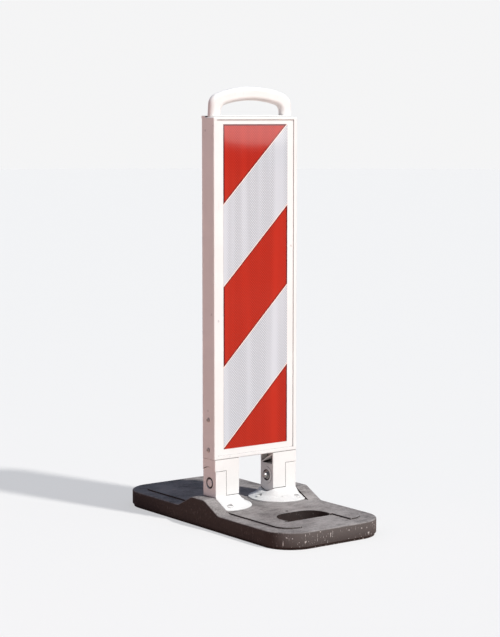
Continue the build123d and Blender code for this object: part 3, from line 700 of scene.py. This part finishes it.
def turned_brass():
    """Plain turned brass of the inserts."""
    dark_brass, pale_brass = (0.55, 0.4, 0.16), (0.75, 0.58, 0.28)
    material, tree, shader, where, _ = new_material("Turned brass")
    g = Graph(tree)
    grain = g.node("ShaderNodeTexNoise", Vector=where, Scale=700.0, Detail=2.0)
    tone = g.blend(grain.outputs["Fac"], dark_brass, pale_brass)
    tree.links.new(tone, shader.inputs["Base Color"])
    shader.inputs["Roughness"].default_value = 0.35
    shader.inputs["Metallic"].default_value = 1.0
    bump(tree, shader, grain.outputs["Fac"], strength=0.1, distance=0.0001)
    return material


def bearing_nylon():
    """Black nylon of the bushes and thrust discs."""
    black, worn_black = (0.02, 0.02, 0.02), (0.045, 0.045, 0.045)
    material, tree, shader, where, _ = new_material("Black nylon")
    g = Graph(tree)
    skin = place(tree, shared("skin"), Vector=where, Grain_Scale=1500.0)
    tone = g.blend(skin.outputs["Tone"], black, worn_black)
    tree.links.new(tone, shader.inputs["Base Color"])
    shader.inputs["Roughness"].default_value = 0.45
    bump(tree, shader, skin.outputs["Height"], strength=0.2, distance=0.0003)
    return material


def dress(names, material):
    """Gives CAD nodes a material."""
    for name in names:
        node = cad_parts[name]
        node.data.materials.clear()
        node.data.materials.append(material)


# ---------------------------------------------------------------- operators


class BARRICADE_OT_moulded_parts(Operator):
    """Finish the white moulded parts: panel shells, hinge blocks, feet and caps"""

    bl_idname = "barricade.moulded_parts"
    bl_label = "White moulded parts"

    def execute(self, context):
        dress(
            ["panel_front_shell", "panel_rear_shell", "hinge_block_left", "hinge_block_right",
             "foot_left", "foot_right", "foot_screw_caps", "hinge_caps"],
            white_plastic(),
        )
        return {"FINISHED"}


class BARRICADE_OT_film(Operator):
    """Finish the red and white retroreflective film on both faces"""

    bl_idname = "barricade.film"
    bl_label = "Striped film"

    def execute(self, context):
        finish = context.scene.barricade_finish
        red = film("Red film", finish.red_colour, finish.red_rim_colour,
                   rim_width=0.0055, border=1.0)
        white = film("White film", finish.white_colour, finish.white_rim_colour,
                     rim_width=0.0045, border=0.0)
        dress(["front_red_film", "rear_red_film"], red)
        dress(["front_white_film", "rear_white_film"], white)
        return {"FINISHED"}


class BARRICADE_OT_base_plate(Operator):
    """Finish the recycled rubber base plate"""

    bl_idname = "barricade.base_plate"
    bl_label = "Base plate"

    def execute(self, context):
        dress(["base_plate"], recycled_rubber())
        return {"FINISHED"}


class BARRICADE_OT_hardware(Operator):
    """Finish the bolts, nuts, washers, screws, inserts and bearings"""

    bl_idname = "barricade.hardware"
    bl_label = "Hardware"

    def execute(self, context):
        steel = ["foot_screws", "foot_screw_washers", "hinge_bolts", "hinge_head_washers",
                 "hinge_disc_springs", "hinge_nut_washers", "hinge_nuts", "side_screws",
                 "side_screw_washers"]
        dress(steel, zinc_steel())
        dress(["foot_inserts", "side_screw_inserts"], turned_brass())
        dress(["hinge_bushes", "hinge_thrust_discs"], bearing_nylon())
        return {"FINISHED"}


def add_light(name, data, place_at, target):
    """Light at one place that points to another."""
    light = bpy.data.objects.new(name, data)
    bpy.context.scene.collection.objects.link(light)
    light.location = place_at
    aim = Vector(target) - Vector(place_at)
    light.rotation_euler = aim.to_track_quat("-Z", "Y").to_euler()
    return light


def add_softbox(name, place_at, target, size, energy, colour):
    """Rectangular area light that the camera doesn't see."""
    data = bpy.data.lights.new(name, "AREA")
    data.shape = "RECTANGLE"
    data.size, data.size_y = size
    data.energy = energy
    data.color = colour
    add_light(name, data, place_at, target).visible_camera = False


def seen_or_not(tree, seen, unseen):
    """Colour that the camera sees, and another one for all other light."""
    path = tree.nodes.new("ShaderNodeLightPath")
    return Graph(tree).blend(path.outputs["Is Camera Ray"], unseen, seen)


class BARRICADE_OT_stage(Operator):
    """Make the pale floor, the soft lights and the camera"""

    bl_idname = "barricade.stage"
    bl_label = "Stage"

    def execute(self, context):
        stage = context.scene.barricade_stage
        self.make_floor(stage)
        self.make_world(context.scene)
        self.make_lights(stage)
        self.make_camera(context.scene, stage)
        context.scene.view_settings.view_transform = "Standard"
        return {"FINISHED"}

    def make_floor(self, stage):
        bpy.ops.mesh.primitive_circle_add(vertices=96, radius=40, fill_type="TRIFAN")
        floor = bpy.context.object
        floor.name = "floor"
        material, tree, shader, where, _ = new_material("Pale floor")
        g = Graph(tree)
        tone = g.node("ShaderNodeTexNoise", Vector=where, Scale=3.0, Detail=3.0)
        pale = g.blend(tone.outputs["Fac"], shade(stage.floor_colour, 0.99), stage.floor_colour)
        # The camera sees a floor that glows a little, so its shadows stay soft and pale.
        lit = g.blend(stage.shadow_softness, pale, BLACK)
        tree.links.new(seen_or_not(tree, lit, stage.bounce_colour), shader.inputs["Base Color"])
        tree.links.new(seen_or_not(tree, BACKDROP, BLACK), shader.inputs["Emission Color"])
        shader.inputs["Emission Strength"].default_value = stage.shadow_softness
        shader.inputs["Roughness"].default_value = 0.9
        shader.inputs["Specular IOR Level"].default_value = 0.0
        floor.data.materials.append(material)

    def make_world(self, scene):
        full_sky = 0.7
        world = bpy.data.worlds.new("Soft studio")
        world.use_nodes = True
        scene.world = world
        tree = world.node_tree
        tree.nodes.clear()
        g = Graph(tree)
        around = g.node("ShaderNodeTexCoord")
        direction = g.node("ShaderNodeSeparateXYZ", Vector=around.outputs["Generated"])
        rising = g.ramp(direction.outputs["Z"], 0.0, full_sky)
        sky = g.blend(rising, SKY_AT_HORIZON, SKY_OVERHEAD)
        surroundings = seen_or_not(tree, BACKDROP, sky)
        background = g.node("ShaderNodeBackground", Color=surroundings, Strength=1.0)
        out = tree.nodes.new("ShaderNodeOutputWorld")
        tree.links.new(background.outputs["Background"], out.inputs["Surface"])

    def make_lights(self, stage):
        middle = (CAD_LOW + CAD_HIGH) / 2
        key_distance = 7
        sun = bpy.data.lights.new("Key light", "SUN")
        sun.energy = stage.key_strength
        sun.color = (1.0, 0.985, 0.96)
        sun.angle = math.radians(3.5)
        level = math.cos(stage.key_elevation)
        towards = Vector((
            math.sin(stage.key_azimuth) * level,
            -math.cos(stage.key_azimuth) * level,
            math.sin(stage.key_elevation),
        ))
        add_light("Key light", sun, middle + towards * key_distance, middle)
        add_softbox(
            "Warm side fill", place_at=(-4.5, -0.3, 1.3), target=middle,
            size=(3.0, 2.4), energy=28, colour=(1.0, 0.49, 0.37),
        )
        add_softbox(
            "Upper reflection", place_at=(4.8, -6.4, 1.4), target=(0.0, 0.0, 1.2),
            size=(3.0, 0.62), energy=24, colour=(1.0, 0.98, 0.95),
        )

    def make_camera(self, scene, stage):
        camera = bpy.data.objects.new("Camera", bpy.data.cameras.new("Camera"))
        scene.collection.objects.link(camera)
        camera.data.lens = stage.lens
        turn = stage.camera_azimuth
        camera.location = (
            stage.camera_distance * math.sin(turn),
            -stage.camera_distance * math.cos(turn),
            stage.camera_height,
        )
        camera.rotation_euler = Euler((math.pi / 2 - stage.camera_tilt, 0, turn))
        camera.data.clip_end = 200
        scene.camera = camera


OPERATORS = (
    BARRICADE_OT_moulded_parts,
    BARRICADE_OT_film,
    BARRICADE_OT_base_plate,
    BARRICADE_OT_hardware,
    BARRICADE_OT_stage,
)
SETTINGS = {
    "barricade_finish": BarricadeFinish,
    "barricade_rubber": BarricadeRubber,
    "barricade_stage": BarricadeStage,
}


class BARRICADE_PT_sidebar(Panel):
    """Lists the settings and the steps that finish the barricade"""

    bl_idname = "BARRICADE_PT_sidebar"
    bl_label = "Barricade"
    bl_space_type = "VIEW_3D"
    bl_region_type = "UI"
    bl_category = "Barricade"

    def draw(self, context):
        layout = self.layout
        for name in SETTINGS:
            box = layout.box()
            settings = getattr(context.scene, name)
            for prop in settings.bl_rna.properties:
                if prop.identifier not in {"rna_type", "name"}:
                    box.prop(settings, prop.identifier)
        for operator in OPERATORS:
            layout.operator(operator.bl_idname)


def register():
    for cls in (*SETTINGS.values(), *OPERATORS, BARRICADE_PT_sidebar):
        bpy.utils.register_class(cls)
    for name, cls in SETTINGS.items():
        setattr(bpy.types.Scene, name, PointerProperty(type=cls))


def unregister():
    for name in SETTINGS:
        delattr(bpy.types.Scene, name)
    for cls in reversed((*SETTINGS.values(), *OPERATORS, BARRICADE_PT_sidebar)):
        bpy.utils.unregister_class(cls)


def main():
    register()
    bpy.ops.barricade.moulded_parts()
    bpy.ops.barricade.film()
    bpy.ops.barricade.base_plate()
    bpy.ops.barricade.hardware()
    bpy.ops.barricade.stage()


if __name__ == "__main__":
    main()
